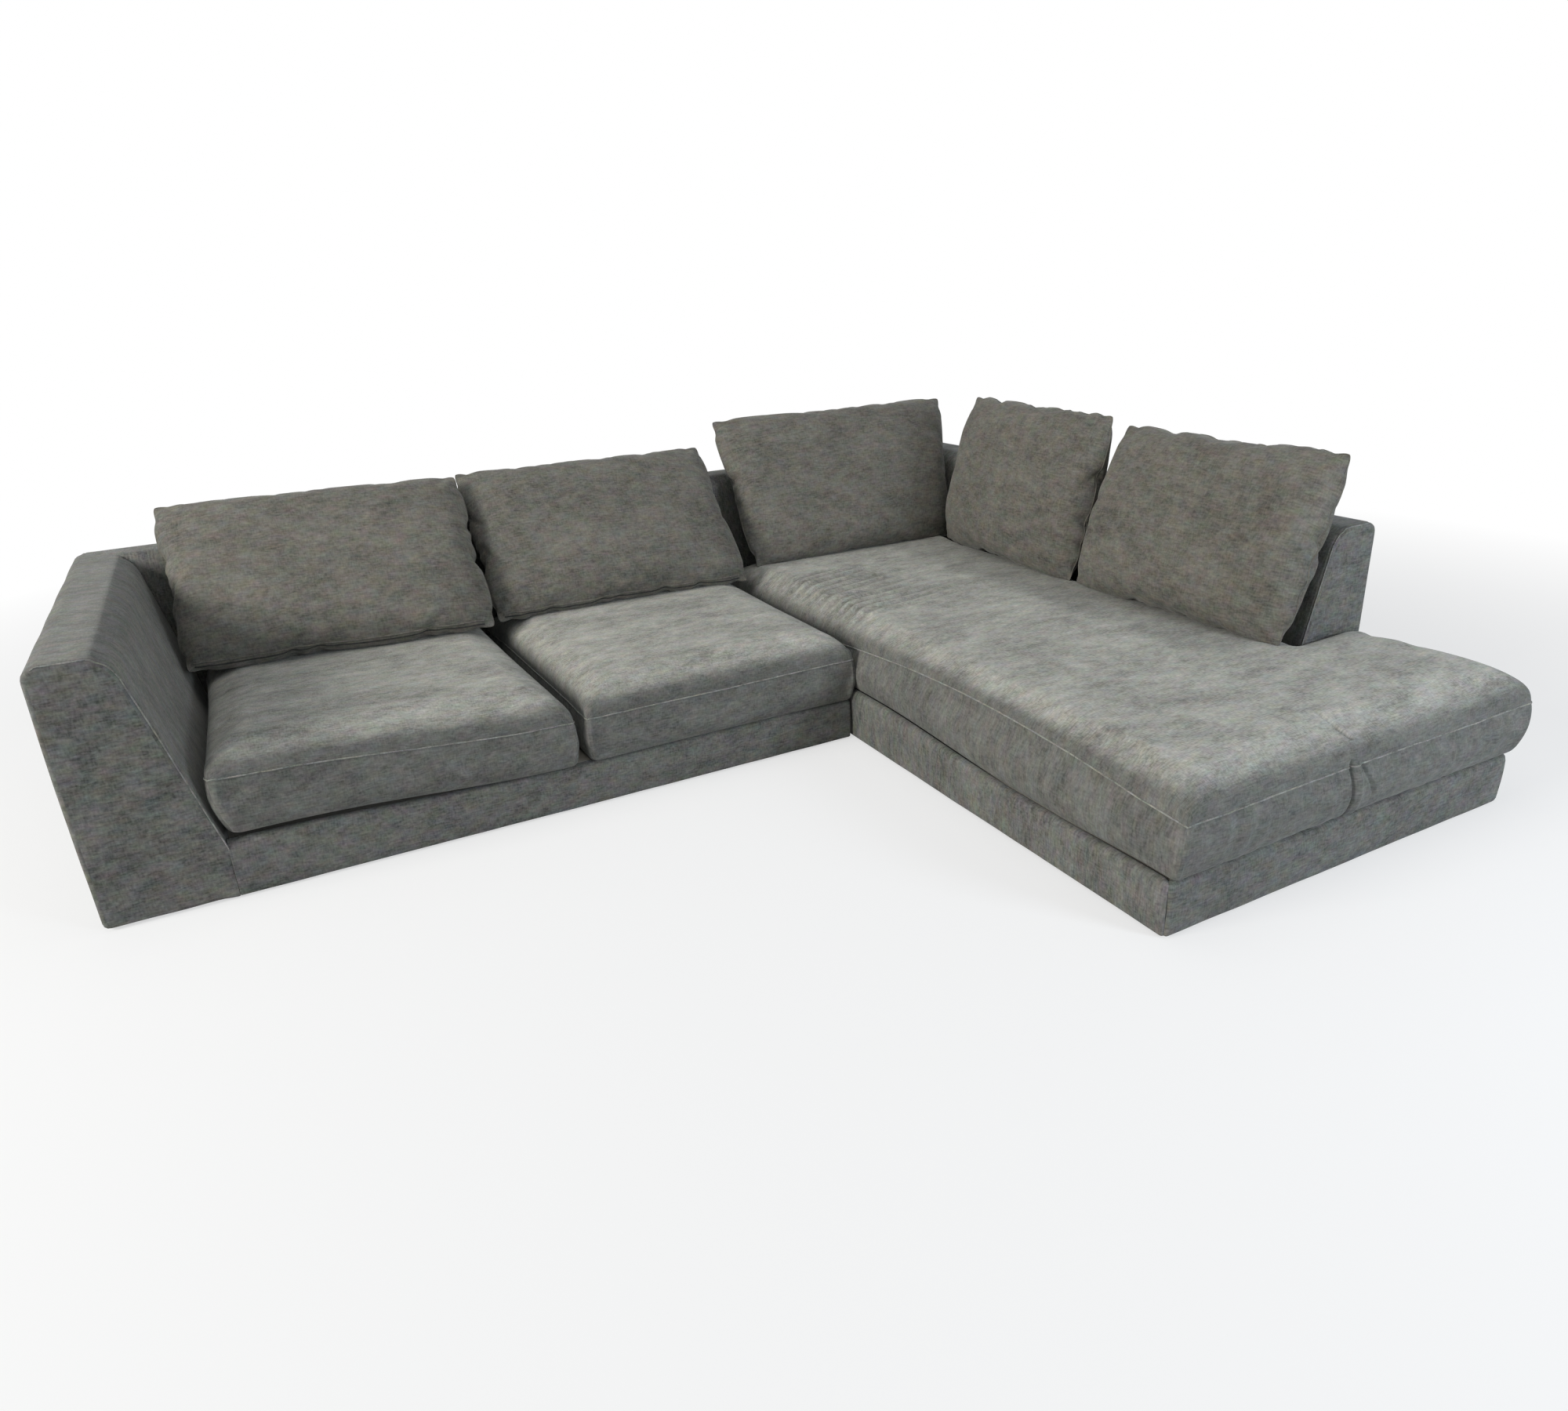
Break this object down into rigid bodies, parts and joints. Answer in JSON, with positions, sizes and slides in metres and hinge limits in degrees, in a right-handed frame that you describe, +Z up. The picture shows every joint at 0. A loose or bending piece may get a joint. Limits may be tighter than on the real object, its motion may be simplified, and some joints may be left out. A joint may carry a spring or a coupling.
{
  "type": "corner sofa with chaise",
  "caption": "Low L-shaped sofa of two hooked modules: a seat module with a sloping arm, a chaise module with a side back, and loose seat and back cushions.",
  "frame": {"origin": "on the floor, in the middle of the overall length and depth", "axes": "+X along the length, from the arm to the chaise; +Y to the rear; +Z up"},
  "size_m": [3.267, 2.524, 0.8774],
  "materials": {
    "upholstery": "brushed chenille, grey to taupe, matt",
    "timber": "sawn softwood",
    "plywood": "bare plywood",
    "webbing": "elastic webbing",
    "felt": "needled felt",
    "dust_cloth": "non-woven cloth",
    "glide_plastic": "moulded",
    "connector_steel": "zinc plated"
  },
  "bodies": {
    "frame": {"arm_cover": "upholstery", "side_back_cover": "upholstery", "seat_back_cover": "upholstery", "chaise_back_cover": "upholstery", "arm_rear_gusset": "plywood", "arm_front_gusset": "plywood", "arm_top_rail": "timber", "seat_back_right_gusset": "plywood", "seat_back_middle_gusset": "plywood", "seat_back_left_gusset": "plywood", "seat_back_top_rail": "timber", "side_back_end_gusset": "plywood", "side_back_middle_gusset": "plywood", "side_back_rear_gusset": "plywood", "side_back_top_rail": "timber", "chaise_back_right_gusset": "plywood", "chaise_back_left_gusset": "plywood", "chaise_back_top_rail": "timber", "seat_front_rail": "timber", "seat_rear_rail": "timber", "arm_outer_rail": "timber", "arm_foot_rail": "timber", "seat_joint_rail": "timber", "seat_back_foot_rail": "timber", "chaise_end_rail": "timber", "chaise_rear_rail": "timber", "chaise_joint_rail": "timber", "chaise_outer_rail": "timber", "side_foot_rail": "timber", "chaise_back_foot_rail": "timber", "seat_front_skin": "upholstery", "seat_joint_skin": "upholstery", "chaise_joint_skin": "upholstery", "chaise_end_skin": "upholstery", "chaise_outer_skin": "upholstery", "seat_webbing": "webbing", "chaise_webbing": "webbing", "seat_deck_pad": "felt", "chaise_deck_pad": "felt", "seat_dust_cloth": "dust_cloth", "chaise_dust_cloth": "dust_cloth", "seat_glide_front_left": "glide_plastic", "seat_glide_front_right": "glide_plastic", "seat_glide_rear_left": "glide_plastic", "seat_glide_rear_right": "glide_plastic", "chaise_glide_front_left": "glide_plastic", "chaise_glide_front_right": "glide_plastic", "chaise_glide_rear_left": "glide_plastic", "chaise_glide_rear_right": "glide_plastic", "connector_tongue": "connector_steel", "connector_pocket": "connector_steel"},
    "seat_cushion_left": {"seat_cushion_left": "upholstery"},
    "seat_cushion_right": {"seat_cushion_right": "upholstery"},
    "chaise_cushion": {"chaise_cushion": "upholstery"},
    "back_cushion_1": {"back_cushion_1": "upholstery"},
    "back_cushion_2": {"back_cushion_2": "upholstery"},
    "back_cushion_3": {"back_cushion_3": "upholstery"},
    "back_cushion_4": {"back_cushion_4": "upholstery"},
    "back_cushion_5": {"back_cushion_5": "upholstery"}
  },
  "joints": [
    {"name": "seat_cushion_left_lift", "type": "slide", "parent": "frame", "child": "seat_cushion_left", "axis": [0, 0, 1], "range_m": [0, 0.75]},
    {"name": "seat_cushion_right_lift", "type": "slide", "parent": "frame", "child": "seat_cushion_right", "axis": [0, 0, 1], "range_m": [0, 0.75]},
    {"name": "chaise_cushion_lift", "type": "slide", "parent": "frame", "child": "chaise_cushion", "axis": [0, 0, 1], "range_m": [0, 0.75]},
    {"name": "back_cushion_1_lift", "type": "slide", "parent": "seat_cushion_left", "child": "back_cushion_1", "axis": [0, 0, 1], "range_m": [0, 0.55]},
    {"name": "back_cushion_2_lift", "type": "slide", "parent": "seat_cushion_right", "child": "back_cushion_2", "axis": [0, 0, 1], "range_m": [0, 0.55]},
    {"name": "back_cushion_3_lift", "type": "slide", "parent": "chaise_cushion", "child": "back_cushion_3", "axis": [0, 0, 1], "range_m": [0, 0.55]},
    {"name": "back_cushion_4_lift", "type": "slide", "parent": "chaise_cushion", "child": "back_cushion_4", "axis": [0, 0, 1], "range_m": [0, 0.55]},
    {"name": "back_cushion_5_lift", "type": "slide", "parent": "chaise_cushion", "child": "back_cushion_5", "axis": [0, 0, 1], "range_m": [0, 0.55]}
  ]
}
